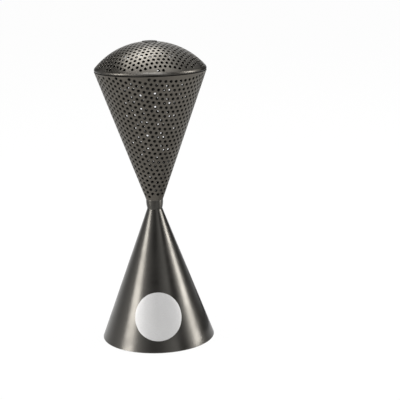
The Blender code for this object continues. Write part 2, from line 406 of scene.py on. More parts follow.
def on_arc(centre: Point, radius: float, first: float, last: float, steps: int) -> list[Point]:
    """Points of a profile on an arc.

    Args:
        centre: Middle of the arc, as (radius, height).
        radius: Radius of the arc.
        first: Tilt of the first point from straight up, outwards.
        last: Tilt of the last point.
        steps: Steps from the first point to the last.

    Returns:
        The points, both ends included.
    """
    tilts = [first + (last - first) * i / steps for i in range(steps + 1)]
    return [(centre[0] + radius * math.sin(t), centre[1] + radius * math.cos(t)) for t in tilts]


def set_mask(piece: Piece, name: str, amount: Rule) -> None:
    """Store a value for each point of a piece, for its finish to read.

    Args:
        piece: The piece, in object mode.
        name: The mask's name.
        amount: Gives values for an array of points; they are held between 0 and 1.
    """
    values = np.clip(amount(points_of(piece)), 0.0, 1.0)
    layer = piece.data.attributes.new(name, "FLOAT", "POINT")
    layer.data.foreach_set("value", values.astype(np.float32))


def settle(
    piece: Piece, body: str, nodes: Iterable[str], materials: Sequence[Material]
) -> None:
    """Dress a finished piece and set it on its body in place of its solids.

    Args:
        piece: The finished piece.
        body: The body that it rides on.
        nodes: The solids that it stands for.
        materials: Its materials, in the order of its faces' indices, the last one for the rest.
    """
    held = piece.data.materials
    while len(held) < len(materials):
        held.append(None)
    for index in range(len(held)):
        held[index] = materials[min(index, len(materials) - 1)]
    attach(piece, body)
    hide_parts(*nodes)
    triangles = sum(len(face.vertices) - 2 for face in piece.data.polygons)
    LOG.info("%s: %d triangles, rides on %s", piece.name, triangles, body)


# Finishes


def scaled(colour: Colour, share: float) -> Colour:
    """A share of a colour."""
    return tuple(value * share for value in colour)


class Graph:
    """A node tree that is being wired."""

    def __init__(self, tree: Tree) -> None:
        """Start on a tree, emptied of its nodes."""
        self.tree = tree
        tree.nodes.clear()

    def add(
        self, kind: str, inputs: dict[str | int, object] | None = None, **fields: object
    ) -> Node:
        """Add a node.

        Args:
            kind: Blender's type of node.
            inputs: A value for a socket, or the socket that feeds it, by its name or place.
            **fields: Values of the node's own fields.

        Returns:
            The node.
        """
        node = self.tree.nodes.new(kind)
        for key, value in fields.items():
            setattr(node, key, value)
        for key, value in (inputs or {}).items():
            if isinstance(value, Socket):
                self.tree.links.new(value, node.inputs[key])
            else:
                node.inputs[key].default_value = value
        return node

    def calc(self, operation: str, *values: object) -> Socket:
        """Work out a number from others, by Blender's name of the sum."""
        return self.add("ShaderNodeMath", dict(enumerate(values)), operation=operation).outputs[0]

    def blend(self, share: Socket, first: object, second: object) -> Socket:
        """Mix two colours.

        Args:
            share: How much of the second shows.
            first: A colour, or the socket that gives it.
            second: A colour, or the socket that gives it.

        Returns:
            The socket with the mixed colour.
        """
        first, second = (it if isinstance(it, Socket) else (*it, 1.0) for it in (first, second))
        inputs = {MIX_SHARE: share, MIX_FIRST: first, MIX_SECOND: second}
        return self.add("ShaderNodeMix", inputs, data_type="RGBA").outputs[MIX_RESULT]

    def spread(self, value: Socket, low: float, high: float) -> Socket:
        """Spread a value from 0 to 1 over a range."""
        inputs = {"Value": value, "To Min": low, "To Max": high}
        return self.add("ShaderNodeMapRange", inputs).outputs[0]

    def ease(
        self, value: Socket, start: float, end: float, low: float = 0.0, high: float = 1.0
    ) -> Socket:
        """Go smoothly from a low number to a high one while a value goes from a start to an end."""
        inputs = {"Value": value, "From Min": start, "From Max": end, "To Min": low, "To Max": high}
        return self.add("ShaderNodeMapRange", inputs, interpolation_type="SMOOTHSTEP").outputs[0]

    def noise(self, place: Socket, scale: object, **settings: float) -> Socket:
        """Noise of a scale, with its other settings by the names of their sockets."""
        inputs = {"Vector": place, "Scale": scale, **settings}
        return self.add("ShaderNodeTexNoise", inputs).outputs[0]

    def relief(self, height: Socket, depth: float, strength: float = 1.0) -> Socket:
        """Turn heights into the normal of a surface."""
        inputs = {"Height": height, "Strength": strength, "Distance": depth}
        return self.add("ShaderNodeBump", inputs).outputs[0]

    def effect(self, group: Tree, **inputs: object) -> bpy.types.bpy_prop_collection:
        """Use a shared node group, and give its outputs."""
        return self.add("ShaderNodeGroup", inputs, node_tree=group).outputs

    def place(self) -> Socket:
        """Place on the piece."""
        return self.add("ShaderNodeTexCoord").outputs["Object"]

    def mask(self, name: str) -> Socket:
        """A mask that the piece carries."""
        return self.add("ShaderNodeAttribute", attribute_name=name).outputs["Fac"]

    def background_rays(self) -> Socket:
        """Tell rays that show the background itself: from the camera, mirrored, or through glass.

        Returns:
            A socket with 1 for such a ray and 0 for any other.
        """
        path = self.add("ShaderNodeLightPath").outputs
        seen = self.calc("MAXIMUM", path["Is Camera Ray"], path["Is Glossy Ray"])
        return self.calc("MAXIMUM", seen, path["Is Transmission Ray"])

    def either(self, share: Socket, first: Node, second: Node) -> Node:
        """Mix two shaders, by how much of the second shows."""
        inputs = {0: share, 1: first.outputs[0], 2: second.outputs[0]}
        return self.add("ShaderNodeMixShader", inputs)

    def show(self, shader: Node, output: str = "ShaderNodeOutputMaterial") -> None:
        """Send a shader to the output."""
        self.add(output, {"Surface": shader.outputs[0]})

    def close(self, **values: object) -> None:
        """Close a material with a Principled shader; an underscore stands for a space in a name."""
        inputs = {key.replace("_", " "): value for key, value in values.items()}
        self.show(self.add("ShaderNodeBsdfPrincipled", inputs))


def start_group(
    name: str, takes: dict[str, str], gives: Iterable[str]
) -> tuple[Graph, bpy.types.bpy_prop_collection]:
    """Start a shared node group.

    Args:
        name: The group's name.
        takes: Its inputs, each with its type of socket.
        gives: Its outputs, which are numbers.

    Returns:
        The graph to wire, and the sockets with what the group takes.
    """
    tree = bpy.data.node_groups.new(name, "ShaderNodeTree")
    for key, kind in takes.items():
        tree.interface.new_socket(key, in_out="INPUT", socket_type=kind)
    for key in gives:
        tree.interface.new_socket(key, in_out="OUTPUT", socket_type=FLOAT)
    graph = Graph(tree)
    return graph, graph.add("NodeGroupInput").outputs


def make_turned_lines() -> Tree:
    """Fine lines that run round the axis, as a lathe or a brush leaves them, in broad bands.

    Returns:
        A group that takes a place, the number of lines to the metre and how fast they change round
        the axis, and gives their height and tone.
    """
    band_share, line_tone = 0.11, 0.6
    takes = {"Place": VECTOR, "Lines": FLOAT, "Sweep": FLOAT}
    graph, taken = start_group("turned_lines", takes, ("Height", "Tone"))
    x, y, z = graph.add("ShaderNodeSeparateXYZ", {"Vector": taken["Place"]}).outputs
    radius = graph.calc("SQRT", graph.calc("MULTIPLY_ADD", x, x, graph.calc("MULTIPLY", y, y)))
    reach = graph.calc("DIVIDE", taken["Sweep"], graph.calc("MAXIMUM", radius, TINY))
    across, along = (graph.calc("MULTIPLY", part, reach) for part in (x, y))
    level = graph.calc("MULTIPLY", z, taken["Lines"])
    band_level = graph.calc("MULTIPLY", level, band_share)
    fine, broad = (
        graph.add("ShaderNodeCombineXYZ", {"X": across, "Y": along, "Z": height}).outputs[0]
        for height in (level, band_level)
    )
    lines = graph.noise(fine, 1.0, Detail=3.0, Roughness=0.65)
    bands = graph.noise(broad, 1.0, Detail=2.0)
    band_tone = graph.calc("MULTIPLY", bands, 1.0 - line_tone)
    tone = graph.calc("MULTIPLY_ADD", lines, line_tone, band_tone)
    graph.add("NodeGroupOutput", {"Height": lines, "Tone": tone})
    return graph.tree


def make_handling_marks() -> Tree:
    """Soft smears that hands leave on plated metal.

    Returns:
        A group that takes a place and the number of smears to the metre, and gives a mask.
    """
    onset, smeared = 0.38, 0.66
    graph, taken = start_group("handling_marks", {"Place": VECTOR, "Number": FLOAT}, ("Mask",))
    cloud = graph.noise(taken["Place"], taken["Number"], Detail=4.0, Roughness=0.6, Distortion=0.8)
    graph.add("NodeGroupOutput", {"Mask": graph.ease(cloud, onset, smeared)})
    return graph.tree


def make_worn_and_lit_edges() -> Tree:
    """Plating rubbed thin along edges, in broken patches, which on the dome's shoulder is also a
    painted highlight.

    Returns:
        A group that takes how far a point is rubbed, a place and a grain, and gives a mask.
    """
    least, most = 0.45, 1.35
    plated, bare = 0.35, 0.95
    takes = {"Rub": FLOAT, "Place": VECTOR, "Grain": FLOAT}
    graph, taken = start_group("worn_and_lit_edges", takes, ("Mask",))
    speckle = graph.spread(graph.noise(taken["Place"], taken["Grain"], Detail=3.0), least, most)
    broken = graph.calc("MULTIPLY", taken["Rub"], speckle)
    graph.add("NodeGroupOutput", {"Mask": graph.ease(broken, plated, bare)})
    return graph.tree


@dataclass(frozen=True)
class Effects:
    """Node groups that several finishes share."""

    turned_lines: Tree
    handling_marks: Tree
    worn_and_lit_edges: Tree


def start_material(name: str) -> tuple[Material, Graph]:
    """Start a material.

    Args:
        name: The material's name.

    Returns:
        The material, and its empty graph.
    """
    material = bpy.data.materials.new(name)
    material.use_nodes = True
    return material, Graph(material.node_tree)


@dataclass(frozen=True)
class NickelPlate:
    """Dark nickel plating on brushed steel."""

    name: str
    colour: Colour
    # Lighter colour for rubbed wear, which on the dome also serves a painted highlight
    wear_and_highlight_colour: Colour
    roughness: float
    anisotropy: float = 0.0
    lines: float = 5200.0
    sweep: float = 3.0
    line_depth: float = 0.004 * MM
    line_tone: float = 0.12
    line_gloss: float = 0.10
    smears: float = 38.0
    smear_share: float = 0.6
    smear_tone: float = 0.86
    smear_gloss: float = 0.07
    rub_grain: float = 1400.0
    # Share of the colour left under the painted shade low on the dome's edge
    seam_shade_tone: float = 0.35

    def material(self, effects: Effects) -> Material:
        """Build the plating's material.

        Args:
            effects: The shared node groups.

        Returns:
            The material.
        """
        material, graph = start_material(self.name)
        place = graph.place()
        lines = graph.effect(effects.turned_lines, Place=place, Lines=self.lines, Sweep=self.sweep)
        marks = graph.effect(effects.handling_marks, Place=place, Number=self.smears)["Mask"]
        rub = graph.mask(WEAR_AND_HIGHLIGHT)
        edges = graph.effect(effects.worn_and_lit_edges, Place=place, Rub=rub, Grain=self.rub_grain)
        # Painted shade: darker low on the dome's edge, round the curl and into the seam
        seam_shaded = graph.blend(graph.mask(SEAM_SHADE), self.colour, scaled(self.colour, self.seam_shade_tone))
        # Lighter where rubbed, and at the front of the dome's shoulder a painted highlight
        lightened = graph.blend(edges["Mask"], seam_shaded, self.wear_and_highlight_colour)
        smeared = graph.calc("MULTIPLY", marks, self.smear_share)
        handled = graph.blend(smeared, lightened, scaled(self.colour, self.smear_tone))
        tone = graph.spread(lines["Tone"], 1.0 - self.line_tone, 1.0 + self.line_tone)
        shaded = graph.add("ShaderNodeVectorMath", {0: handled, "Scale": tone}, operation="SCALE")
        smoothest = self.roughness - self.line_gloss / 2
        brushed = graph.calc("MULTIPLY_ADD", lines["Tone"], self.line_gloss, smoothest)
        streak: dict[str, object] = {}
        if self.anisotropy:
            upright = graph.add("ShaderNodeCombineXYZ", dict(zip("XYZ", UP))).outputs[0]
            streak = {"Anisotropic": self.anisotropy, "Tangent": upright}
        graph.close(
            Base_Color=shaded.outputs[0],
            Roughness=graph.calc("MULTIPLY_ADD", marks, self.smear_gloss, brushed),
            Metallic=1.0,
            Normal=graph.relief(lines["Height"], self.line_depth),
            **streak,
        )
        return material


@dataclass(frozen=True)
class BadgeFoil:
    """Satin silver foil with a fine grain."""

    name: str = "satin_silver_foil"
    colour: Colour = (0.482, 0.482, 0.488)
    roughness: float = 0.55
    metallic: float = 0.28
    grain: float = 1300.0
    grain_depth: float = 0.01 * MM
    grain_strength: float = 0.6
    grain_gloss: float = 0.16
    fleck: Span = (-0.9, 1.9)
    dull: float = 0.93
    bright: float = 1.06
    smears: float = 60.0
    smear_share: float = 0.35

    def material(self, effects: Effects) -> Material:
        """Build the foil's material.

        Args:
            effects: The shared node groups.

        Returns:
            The material.
        """
        material, graph = start_material(self.name)
        place = graph.place()
        grain = graph.noise(place, self.grain, Detail=4.0, Roughness=0.75)
        marks = graph.effect(effects.handling_marks, Place=place, Number=self.smears)["Mask"]
        dull, bright = (scaled(self.colour, share) for share in (self.dull, self.bright))
        flecked = graph.blend(graph.spread(grain, *self.fleck), dull, bright)
        smoothest = self.roughness - self.grain_gloss / 2
        graph.close(
            Base_Color=graph.blend(graph.calc("MULTIPLY", marks, self.smear_share), flecked, dull),
            Roughness=graph.calc("MULTIPLY_ADD", grain, self.grain_gloss, smoothest),
            Metallic=self.metallic,
            Normal=graph.relief(grain, self.grain_depth, self.grain_strength),
        )
        return material


@dataclass(frozen=True)
class PlugRubber:
    """Moulded black rubber."""

    name: str = "moulded_rubber"
    colour: Colour = (0.012, 0.011, 0.010)
    dusty: Colour = (0.030, 0.028, 0.025)
    dust: float = 220.0
    dust_share: float = 0.5
    grain: float = 3200.0
    grain_depth: float = 0.02 * MM
    grain_strength: float = 0.5
    roughness: Span = (0.40, 0.64)
    specular: float = 0.3

    def material(self, effects: Effects) -> Material:
        """Build the rubber's material.

        Args:
            effects: The shared node groups.

        Returns:
            The material.
        """
        material, graph = start_material(self.name)
        place = graph.place()
        grain = graph.noise(place, self.grain, Detail=3.0)
        marks = graph.effect(effects.handling_marks, Place=place, Number=self.dust)["Mask"]
        dusted = graph.calc("MULTIPLY", marks, self.dust_share)
        graph.close(
            Base_Color=graph.blend(dusted, self.colour, self.dusty),
            Roughness=graph.spread(grain, *self.roughness),
            Specular_IOR_Level=self.specular,
            Normal=graph.relief(grain, self.grain_depth, self.grain_strength),
        )
        return material


@dataclass(frozen=True)
class BallSteel:
    """Steel shot, bright and a little scuffed."""

    name: str = "scuffed_ball_steel"
    colour: Colour = (0.42, 0.415, 0.405)
    scuffed: Colour = (0.30, 0.295, 0.285)
    scuffs: float = 420.0
    pits: float = 4000.0
    pit_depth: float = 0.005 * MM
    pit_strength: float = 0.3
    roughness: Span = (0.16, 0.34)

    def material(self, effects: Effects) -> Material:
        """Build the steel's material.

        Args:
            effects: The shared node groups.

        Returns:
            The material.
        """
        material, graph = start_material(self.name)
        place = graph.place()
        marks = graph.effect(effects.handling_marks, Place=place, Number=self.scuffs)["Mask"]
        pits = graph.noise(place, self.pits, Detail=2.0)
        graph.close(
            Base_Color=graph.blend(marks, self.colour, self.scuffed),
            Roughness=graph.spread(marks, *self.roughness),
            Metallic=1.0,
            Normal=graph.relief(pits, self.pit_depth, self.pit_strength),
        )
        return material


Finish = NickelPlate | BadgeFoil | PlugRubber | BallSteel


# Sub-assemblies


class SubAssembly:
    """One piece of the shaker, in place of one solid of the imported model.

    Its edges are shaded round up to its crease, an angle in degrees.
    """

    solid: ClassVar[str]
    slot: ClassVar[Slot]
    body: ClassVar[Body] = Body.SHAKER
    crease: ClassVar[float] = 40.0
    finishes: tuple[Finish, ...]

    def masks(self) -> dict[str, Rule]:
        """Masks that its finishes read, by their names."""
        return {}

    def dress(self, piece: Piece, effects: Effects) -> None:
        """Shade the piece, give it its masks and its finishes, and set it in place.

        Args:
            piece: The piece.
            effects: The shared node groups.
        """
        smooth(piece, self.crease)
        for name, amount in self.masks().items():
            set_mask(piece, name, amount)
        materials = [finish.material(effects) for finish in self.finishes]
        settle(piece, self.body.value, [self.solid], materials)


@dataclass
class Bell(SubAssembly):
    """The plain cone below, open at its mouth, brushed outside and dark inside."""

    solid = "bell_cone"
    slot = Slot.BELL
    finishes: tuple[Finish, ...] = (
        NickelPlate(
            "brushed_dark_nickel", (0.090, 0.086, 0.079), (0.30, 0.29, 0.27),
            roughness=0.30, anisotropy=0.72,
        ),
        NickelPlate(
            "bell_inside_nickel", (0.060, 0.058, 0.056), (0.30, 0.29, 0.27), roughness=0.46
        ),
    )
    top: float = 5.0 * MM
    sheet: float = 0.9 * MM
    lip: float = 0.2 * MM
    lip_steps: int = 4
    segments: int = 192
    rings: tuple[float, ...] = tuple(z * MM for z in (60.0, 30.0, 12.0, 5.0, 2.5, 1.2, 0.5))
    rub_reach: float = 0.9 * MM
    mouth: float = field(init=False)
    height: float = field(init=False)
    angle: float = field(init=False)

    def __post_init__(self) -> None:
        """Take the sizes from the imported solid."""
        self.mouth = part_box("bell_cone")[1].x
        self.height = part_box("bell_cone")[1].z
        self.angle = math.atan2(self.mouth - self.top, self.height)

    def outer(self, height: float) -> float:
        """Radius of the outer wall at a height."""
        return self.mouth - height * math.tan(self.angle)

    def build(self) -> Piece:
        """Spin the cone, with a rounded lip.

        Returns:
            The piece.
        """
        wall = self.sheet / math.cos(self.angle)
        facing = math.pi / 2 - self.angle
        heights = [self.height, *self.rings]
        down = [(self.outer(z), z) for z in heights]
        outer_corner = (self.mouth - self.lip / math.tan(facing / 2), self.lip)
        inner_corner = (self.mouth - wall + self.lip * math.tan(facing / 2), self.lip)
        round_lip = [
            *on_arc(outer_corner, self.lip, facing, math.pi, self.lip_steps),
            *on_arc(inner_corner, self.lip, math.pi, facing + math.pi, self.lip_steps),
        ]
        up = [(self.outer(z) - wall, z) for z in reversed(heights)]
        piece = turn("spun_bell", [*down, *round_lip, *up, down[0]], self.segments)
        for face in piece.data.polygons:
            within = face.center.xy.length < self.outer(face.center.z) - wall / 2
            face.material_index = INSIDE if within and face.center.z > self.lip else OUTSIDE
        return piece

    def masks(self) -> dict[str, Rule]:
        """Rub along the lip."""
        return {WEAR_AND_HIGHLIGHT: lambda points: 1.0 - points[:, 2] / self.rub_reach}


@dataclass
class Badge(SubAssembly):
    """A blank round plate bent to the front of the bell."""

    solid = "badge"
    slot = Slot.BADGE
    bell: Bell
    finishes: tuple[Finish, ...] = (BadgeFoil(),)
    diameter: float = 31.6 * MM
    height: float = 20.9 * MM
    thickness: float = 0.48 * MM
    proud: float = 0.5 * MM
    rings: int = 7
    segments: int = 96
    edge: float = 0.12 * MM
    edge_steps: int = 3
    edge_angle: float = math.radians(60.0)

    def bent(self, points: np.ndarray) -> np.ndarray:
        """Bend the flat disc to the bell.

        Args:
            points: Points of the disc, its middle at the origin.

        Returns:
            Their places, proud of the bell.
        """
        angle = self.bell.angle
        apex = self.bell.outer(0.0) / math.tan(angle)
        slant = (apex - self.height) / math.cos(angle)
        lift = self.proud / math.sin(angle)
        along = slant - points[:, 1]
        return on_cone(points[:, 0], along, angle, apex + lift, Widening.DOWNWARDS)

    def build(self) -> Piece:
        """Cut a disc, bend it to the bell and round its edge.

        Returns:
            The piece.
        """
        radius = self.diameter / 2
        leave_edit_mode()
        bpy.ops.mesh.primitive_circle_add(vertices=self.segments, radius=radius, fill_type="NGON")
        piece = take_new("blank_badge")
        for _ in range(self.rings):
            bpy.ops.mesh.inset(thickness=radius / (self.rings + 1))
        bpy.ops.mesh.poke()
        reshape(piece, self.bent)
        thicken(piece, self.thickness)
        edit(piece)
        select(piece, Element.EDGES, lambda rim: is_sharp(rim, self.edge_angle))
        bpy.ops.mesh.bevel(offset=self.edge, segments=self.edge_steps, clamp_overlap=False)
        close_and_face_out(piece)
        return piece


@dataclass
class Neck(SubAssembly):
    """The turned ferrule between the cones."""

    solid = "neck_ferrule"
    slot = Slot.NECK
    crease = 35.0
    finishes: tuple[Finish, ...] = (
        NickelPlate(
            "turned_dark_nickel", (0.070, 0.067, 0.061), (0.26, 0.25, 0.235),
            roughness=0.32, anisotropy=0.8, lines=4200.0,
        ),
    )
    lower: float = 4.9 * MM
    upper: float = 5.62 * MM
    bulge: float = 0.25 * MM
    spigot: float = 4.0 * MM
    groove: float = 0.12 * MM
    steps: int = 12
    segments: int = 96
    rub: float = 0.9
    rub_reach: float = 0.5 * MM
    low: float = field(init=False)
    high: float = field(init=False)

    def __post_init__(self) -> None:
        """Take the joints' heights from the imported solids."""
        self.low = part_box("bell_cone")[1].z
        self.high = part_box("head_cone")[0].z

    def build(self) -> Piece:
        """Turn the neck, with a fine groove at each joint.

        Returns:
            The piece.
        """
        bottom, top = (corner.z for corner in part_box("neck_ferrule"))
        side = []
        for step in range(self.steps + 1):
            share = step / self.steps
            swell = self.bulge * math.sin(math.pi * share)
            radius = self.lower + (self.upper - self.lower) * share + swell
            side.append((radius, self.low + (self.high - self.low) * share))
        under, over = self.low - self.groove, self.high + self.groove
        profile = [
            (0.0, bottom),
            (self.spigot, bottom),
            (self.spigot, under),
            (side[0][0] - self.groove, under),
            *side,
            (side[-1][0] - self.groove, over),
            (self.spigot, over),
            (self.spigot, top),
            (0.0, top),
        ]
        return turn("turned_neck", profile, self.segments)

    def lightened(self, points: np.ndarray) -> np.ndarray:
        """How far points are rubbed, by their distance from the nearer joint."""
        nearer = np.min([np.abs(points[:, 2] - end) for end in (self.low, self.high)], axis=0)
        return self.rub - nearer / self.rub_reach

    def masks(self) -> dict[str, Rule]:
        """Rub at the joints."""
        return {WEAR_AND_HIGHLIGHT: self.lightened}


@dataclass(frozen=True)
class PerforatedSheet:
    """Flat sheet with round holes in close-packed rows."""

    pitch: float = 3.5 * MM
    hole: float = 2.0 * MM
    lean: float = 0.0
    sides: int = 12
    spare_pitches: float = 1.5
    edge_angle: float = math.radians(50.0)

    @property
    def row(self) -> float:
        """Distance from one row of holes to the next."""
        return self.pitch * ROOT3 / 2

    @property
    def spare(self) -> float:
        """Width of the sheet that is left round an outline until it is cut."""
        return self.spare_pitches * self.pitch

    def lay(self, name: str, columns: int, row_pairs: int, corner: Point) -> Piece:
        """Lay a sheet of six-sided cells, each with a round hole still filled, and turn its rows.

        Args:
            name: The piece's name.
            columns: Cells in a row.
            row_pairs: Half the number of rows.
            corner: Middle of the first cell, before the rows are turned from X about the origin.

        Returns:
            The sheet, in edit mode, its faces towards +Z.
        """
        leave_edit_mode()
        bpy.ops.mesh.primitive_circle_add(vertices=6, radius=self.pitch / ROOT3)
        piece = take_new(name)
        bpy.ops.mesh.subdivide(number_cuts=1)
        bpy.ops.mesh.primitive_circle_add(vertices=self.sides, radius=self.hole / 2)
        bpy.ops.mesh.select_all(action="SELECT")
        bpy.ops.mesh.bridge_edge_loops()
        select(piece, Element.POINTS, lambda vert: vert.co.length < self.hole / 2 + TINY)
        bpy.ops.mesh.edge_face_add()
        bpy.ops.mesh.select_all(action="SELECT")
        next_row = (self.pitch / 2, self.row, 0.0)
        bpy.ops.mesh.duplicate_move(TRANSFORM_OT_translate={"value": next_row})
        steps = ((self.pitch, 0.0, 0.0), (0.0, 2 * self.row, 0.0))
        for count, step in zip((columns, row_pairs), steps):
            apply_modifier(
                piece,
                "ARRAY",
                count=count,
                use_relative_offset=False,
                use_constant_offset=True,
                constant_offset_displace=step,
            )
        edit(piece)
        bpy.ops.transform.translate(value=(*corner, 0.0))
        bpy.ops.transform.rotate(value=-self.lean, orient_axis="Z", center_override=ORIGIN)
        bpy.ops.mesh.remove_doubles(threshold=CLOSE)
        bpy.ops.mesh.normals_make_consistent(inside=False)
        if bmesh.from_edit_mesh(piece.data).faces[:][0].normal.z < 0.0:
            bpy.ops.mesh.flip_normals()
        return piece

    def punch(self, piece: Piece, wanted: Callable[[Vector], bool]) -> None:
        """Punch the holes whose middles pass a test, and divide the fillings of the rest.

        Args:
            piece: The sheet, in edit mode.
            wanted: Test on the middle of a hole.
        """
        holes = select(
            piece,
            Element.FACES,
            lambda face: len(face.verts) == self.sides and wanted(face.calc_center_median()),
        )
        bpy.ops.mesh.delete(type="FACE")
        select(piece, Element.FACES, lambda face: len(face.verts) == self.sides)
        bpy.ops.mesh.poke()
        LOG.info("%s: %d holes", piece.name, holes)

    def break_edges(
        self, piece: Piece, outside: Callable[[Vector], bool], width: float, finish: int
    ) -> None:
        """Break the outer edges of the holes.

        Args:
            piece: The thickened sheet.
            outside: Test for a point on the outer face, among the holes.
            width: Width of the broken edge.
            finish: The finish that the broken edge takes, by its place.
        """
        edit(piece)
        select(
            piece,
            Element.EDGES,
            lambda edge: is_sharp(edge, self.edge_angle)
            and all(outside(vert.co) for vert in edge.verts),
        )
        bpy.ops.mesh.bevel(offset=width, segments=1, clamp_overlap=False, material=finish)
        leave_edit_mode()


@dataclass
class Head(SubAssembly):
    """The perforated cone that holds the balls, satin outside; its darker inside finish is painted
    shade, and the broken edges of the holes take it too.
    """

    solid = "head_cone"
    slot = Slot.HEAD
    crease = 32.0
    finishes: tuple[Finish, ...] = (
        NickelPlate(
            "satin_dark_nickel", (0.114, 0.1045, 0.090), (0.28, 0.27, 0.25),
            roughness=0.40, line_tone=0.08,
        ),
        # Darker copy of the plating: painted shade inside the head
        NickelPlate(
            "head_inside_shade_nickel", (0.036, 0.035, 0.032), (0.20, 0.19, 0.18), roughness=0.55
        ),
    )
    sheet: PerforatedSheet = PerforatedSheet(hole=1.58 * MM, lean=math.radians(-11.0))
    thickness: float = 1.0 * MM
    base: float = 5.65 * MM
    height: float = 85.0 * MM
    plain_foot: float = 1.4 * MM
    edge_web: float = 0.9 * MM
    rim_web: float = 0.45 * MM
    weld_half_width: float = 0.7 * MM
    weld_height: float = 0.18 * MM
    weld_cuts: tuple[float, ...] = (-0.5, 0.0, 0.5)
    weld_rub: float = 0.75
    weld_rub_widths: float = 1.5
    chamfer: float = 0.31 * MM
    sliver: float = 0.2 * MM
    low: float = field(init=False)
    high: float = field(init=False)
    rim: float = field(init=False)
    angle: float = field(init=False)
    apex: float = field(init=False)

    def __post_init__(self) -> None:
        """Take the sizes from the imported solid."""
        low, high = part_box("head_cone")
        self.low, self.high, self.rim = low.z, low.z + self.height, high.x
        self.angle = math.atan2(self.rim - self.base, self.high - self.low)
        self.apex = self.low - self.base / math.tan(self.angle)

    def outer(self, height: float) -> float:
        """Radius of the outer face at a height."""
        return (height - self.apex) * math.tan(self.angle)

    @property
    def half_sector(self) -> float:
        """Half the angle of the flat sector that rolls into the cone."""
        return math.pi * math.sin(self.angle)

    @property
    def arcs(self) -> Span:
        """Radii of the flat sector's two arcs, the foot's and the rim's."""
        return self.base / math.sin(self.angle), self.rim / math.sin(self.angle)

    @property
    def edges(self) -> list[Point]:
        """Directions out of the flat sector across its two straight edges."""
        across, along = math.cos(self.half_sector), -math.sin(self.half_sector)
        return [(-across, along), (across, along)]

    def build(self) -> Piece:
        """Roll the cone from a sector of perforated sheet and weld it up the back.

        Returns:
            The piece.
        """
        piece = self.cut_sector()
        reshape(piece, self.rolled)
        edit(piece)
        for height, side in ((self.low, Side.BELOW), (self.high, Side.ABOVE)):
            bpy.ops.mesh.select_all(action="SELECT")
            cut((0.0, 0.0, height), UP, side)
        self.weld_seam(piece)
        reshape(piece, self.trued)
        thicken(piece, self.thickness)
        # The broken hole edges take the darker inside finish, as painted shade round the holes
        self.sheet.break_edges(piece, self.among_holes, self.chamfer, INSIDE)
        return piece

    def among_holes(self, point: Vector) -> bool:
        """Whether a point lies on the outer face, clear of the foot and the rim."""
        on_face = abs(point.xy.length - self.outer(point.z)) < ON_FACE
        return on_face and self.low + self.edge_web < point.z < self.high - self.rim_web / 2

    def from_seam(self, point: Vector) -> float:
        """How far a point of the flat sheet lies inside the nearer edge of the sector."""
        return point.xy.length * math.sin(self.half_sector - abs(math.atan2(point.x, point.y)))

    def cut_sector(self) -> Piece:
        """Punch the flat sheet and cut the sector from it, short of the weld at both edges.

        Returns:
            The sector, in edit mode, its apex at the origin and its middle along +Y.
        """
        sheet, spare = self.sheet, self.sheet.spare
        foot, rim = self.arcs
        half_columns = math.ceil((rim + spare) / sheet.pitch)
        rows_below = 2 * math.ceil(rim * math.sin(abs(sheet.lean)) / sheet.row / 2)
        row_pairs = (rows_below + math.ceil((rim + spare) / sheet.row)) // 2 + 1
        corner = (-half_columns * sheet.pitch, -rows_below * sheet.row)
        piece = sheet.lay("perforated_head", 2 * half_columns + 1, row_pairs, corner)
        trim(
            piece,
            lambda spot: foot - spare < spot.xy.length < rim + spare
            and spot.y >= 0.0
            and self.from_seam(spot) >= -spare,
        )
        first = foot + self.plain_foot + sheet.hole / 2
        last = rim - self.rim_web - sheet.hole / 2
        web = self.weld_half_width + self.edge_web + sheet.hole / 2
        sheet.punch(
            piece, lambda spot: first <= spot.xy.length <= last and self.from_seam(spot) >= web
        )
        reshape(piece, self.eased)
        edit(piece)
        for across, along in self.edges:
            bpy.ops.mesh.select_all(action="SELECT")
            place = (-across * self.weld_half_width, -along * self.weld_half_width, 0.0)
            cut(place, (across, along, 0.0), Side.ABOVE)
        return piece

    def eased(self, points: np.ndarray) -> np.ndarray:
        """Bring the points near the flat sector's outline onto it.

        Args:
            points: Points of the flat sheet.

        Returns:
            Their places.
        """
        width = self.weld_half_width
        flat = points[:, :2].copy()
        for across, along in self.edges:
            past = drawn_to(flat @ (across, along), -width, self.sliver)
            run = flat @ (-along, across)
            for arc in self.arcs:
                corner = math.copysign(math.sqrt(arc**2 - width**2), across)
                run = np.where(past == -width, drawn_to(run, corner, self.sliver), run)
            flat = np.outer(past, (across, along)) + np.outer(run, (-along, across))
        slant = np.hypot(flat[:, 0], flat[:, 1])
        for arc in self.arcs:
            flat *= (drawn_to(slant, arc, self.sliver) / slant)[:, None]
        return np.column_stack((flat, points[:, 2]))

    def rolled(self, points: np.ndarray) -> np.ndarray:
        """Places of the flat sheet's points when it is rolled into the cone."""
        across, along = points[:, 0], points[:, 1]
        return on_cone(across, along, self.angle, self.apex, Widening.UPWARDS)

    def at_gap(self, edge: bmesh.types.BMEdge) -> bool:
        """Tell whether an edge runs up one side of the gap at the back.

        Args:
            edge: An edge of the rolled sheet.

        Returns:
            Whether it does.
        """
        ends = [vert.co for vert in edge.verts]
        near = all(end.y > 0.0 and abs(abs(end.x) - self.weld_half_width) < AT_LINE for end in ends)
        run = ends[0] - ends[1]
        return edge.is_boundary and near and abs(run.x) < abs(run.z)

    def in_gap(self, face: bmesh.types.BMFace) -> bool:
        """Whether a face lies in the strip that fills the gap."""
        reach = self.weld_half_width + AT_LINE
        return all(vert.co.y > 0.0 and abs(vert.co.x) < reach for vert in face.verts)

    def weld_seam(self, piece: Piece) -> None:
        """Bridge the gap at the back, in strips that the weld can round.

        Args:
            piece: The rolled sheet, in edit mode.
        """
        select(piece, Element.EDGES, self.at_gap)
        bpy.ops.mesh.bridge_edge_loops()
        for share in self.weld_cuts:
            select(piece, Element.FACES, self.in_gap)
            cut((share * self.weld_half_width, 0.0, 0.0), (1.0, 0.0, 0.0), Side.NEITHER)
        bpy.ops.mesh.select_all(action="SELECT")
        bpy.ops.mesh.dissolve_degenerate(threshold=TOO_SHORT)

